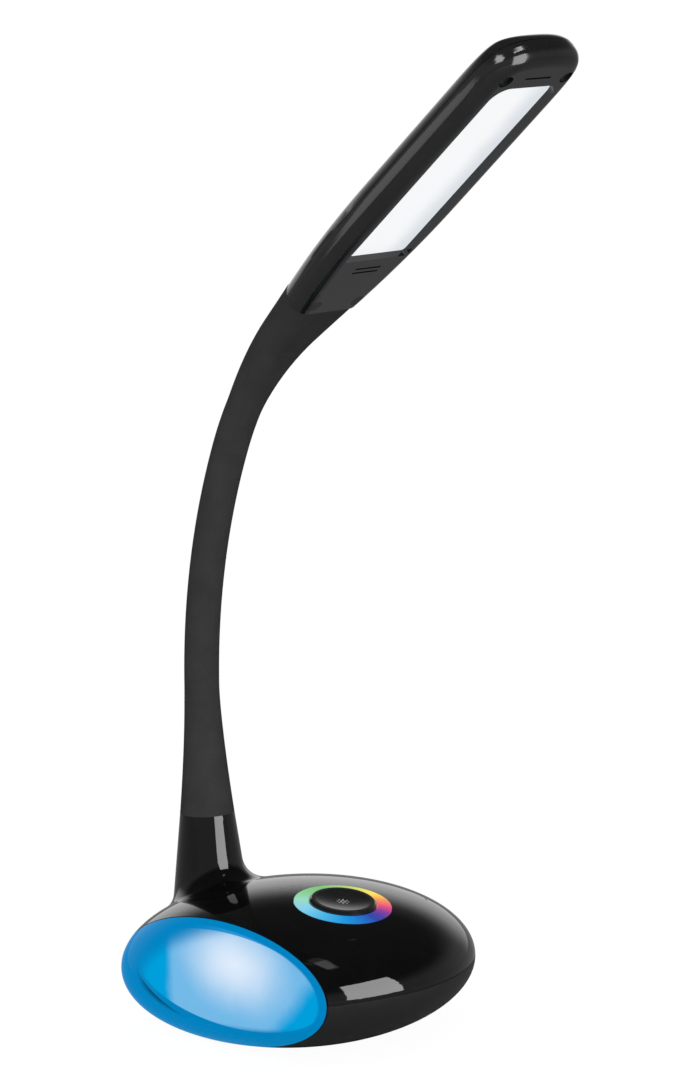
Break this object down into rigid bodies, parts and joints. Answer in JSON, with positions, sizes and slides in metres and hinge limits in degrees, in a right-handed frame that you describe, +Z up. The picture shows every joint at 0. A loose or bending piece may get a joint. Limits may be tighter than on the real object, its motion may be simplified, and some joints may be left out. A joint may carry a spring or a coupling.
{
  "type": "gooseneck desk lamp",
  "caption": "LED desk lamp with a round weighted base, glow window and colour dial, a bendable sleeved neck and a flat head with a lit panel on its underside.",
  "frame": {"origin": "centre of the foot pad, on the desk", "axes": "+Z up, +X towards the side that the head reaches over, the glow window faces -Y"},
  "size_m": [0.2554, 0.164, 0.4543],
  "materials": {
    "shell_gloss": "high gloss black",
    "shell_satin": "fine satin dark grey",
    "foot_rubber": "matte",
    "ballast_iron": "painted",
    "steel": "zinc plated",
    "brass": "turned",
    "aluminium": "mill finish",
    "lens_tint": "clear blue tint, polished",
    "gasket": "dark teal",
    "glow_panel": "translucent, lit from behind",
    "tray_white": "white reflector",
    "ring_colour": "translucent, lit in a rainbow",
    "button_gloss": "gloss black",
    "sleeve_soft": "soft matte, fine grain",
    "head_matte": "matte charcoal, fine grain",
    "diffuser": "opal white, lit",
    "guide_clear": "clear",
    "board_green": "solder mask",
    "led": "encapsulated",
    "switch_black": "moulded",
    "lead_sheath": "extruded",
    "plug_rubber": "matte"
  },
  "bodies": {
    "base": {"base_upper_shell": "shell_gloss", "base_lower_shell": "shell_satin", "foot_pad": "foot_rubber", "ballast_plate": "ballast_iron", "ballast_screws": "steel", "shell_screws": "steel", "glow_lens": "lens_tint", "lens_gasket": "gasket", "glow_panel": "glow_panel", "glow_tray": "tray_white", "glow_led_board": "board_green", "glow_leds": "led", "colour_ring": "ring_colour", "control_board": "board_green", "board_screws": "steel", "ring_leds": "led", "tact_switch": "switch_black", "dc_jack": "switch_black", "base_ferrule": "brass", "base_nut": "brass", "neck_sleeve_1": "sleeve_soft", "neck_conduit_1": "steel", "neck_lead_1": "lead_sheath"},
    "button": {"dial_button": "button_gloss"},
    "neck_1": {"neck_sleeve_2": "sleeve_soft", "neck_conduit_2": "steel", "neck_lead_2": "lead_sheath"},
    "neck_2": {"neck_sleeve_3": "sleeve_soft", "neck_conduit_3": "steel", "neck_lead_3": "lead_sheath"},
    "neck_3": {"neck_sleeve_4": "sleeve_soft", "neck_conduit_4": "steel", "neck_lead_4": "lead_sheath"},
    "neck_4": {"neck_sleeve_5": "sleeve_soft", "neck_conduit_5": "steel", "neck_lead_5": "lead_sheath"},
    "neck_5": {"neck_sleeve_6": "sleeve_soft", "neck_conduit_6": "steel", "neck_lead_6": "lead_sheath"},
    "neck_6": {"neck_sleeve_7": "sleeve_soft", "neck_conduit_7": "steel", "neck_lead_7": "lead_sheath"},
    "head": {"neck_sleeve_8": "sleeve_soft", "neck_conduit_8": "steel", "neck_lead_8": "lead_sheath", "head_lower_frame": "head_matte", "head_top_cover": "head_matte", "panel_diffuser": "diffuser", "light_guide": "guide_clear", "reflector_sheet": "tray_white", "heat_spreader": "aluminium", "led_strips": "board_green", "panel_leds": "led", "head_ferrule": "brass", "head_clamp": "steel", "clamp_screws": "steel", "head_screws": "steel", "screw_plugs": "plug_rubber"}
  },
  "joints": [
    {"name": "dial_press", "type": "slide", "parent": "base", "child": "button", "axis": [-0.1754, 0, -0.9845], "range_m": [0, 0.001], "stiffness_N_per_m": 800, "springref_m": -0.001},
    {"name": "neck_bend_1", "type": "hinge", "parent": "base", "child": "neck_1", "pos_m": [-0.0579, 0, 0.118], "axis": [0, 1, 0], "range_deg": [-20, 15]},
    {"name": "neck_sway_2", "type": "hinge", "parent": "neck_1", "child": "neck_2", "pos_m": [-0.05786, 0, 0.14733], "axis": [-0.9999, 0, 0.017], "range_deg": [-15, 15]},
    {"name": "neck_bend_3", "type": "hinge", "parent": "neck_2", "child": "neck_3", "pos_m": [-0.05597, 0, 0.1766], "axis": [0, 1, 0], "range_deg": [-20, 15]},
    {"name": "neck_sway_4", "type": "hinge", "parent": "neck_3", "child": "neck_4", "pos_m": [-0.0513, 0, 0.20555], "axis": [-0.9786, 0, 0.2057], "range_deg": [-15, 15]},
    {"name": "neck_bend_5", "type": "hinge", "parent": "neck_4", "child": "neck_5", "pos_m": [-0.04391, 0, 0.23392], "axis": [0, 1, 0], "range_deg": [-20, 15]},
    {"name": "neck_sway_6", "type": "hinge", "parent": "neck_5", "child": "neck_6", "pos_m": [-0.03386, 0, 0.26147], "axis": [-0.9221, 0, 0.3871], "range_deg": [-15, 15]},
    {"name": "neck_bend_7", "type": "hinge", "parent": "neck_6", "child": "head", "pos_m": [-0.02062, 0, 0.2876], "axis": [0, 1, 0], "range_deg": [-20, 15]}
  ]
}
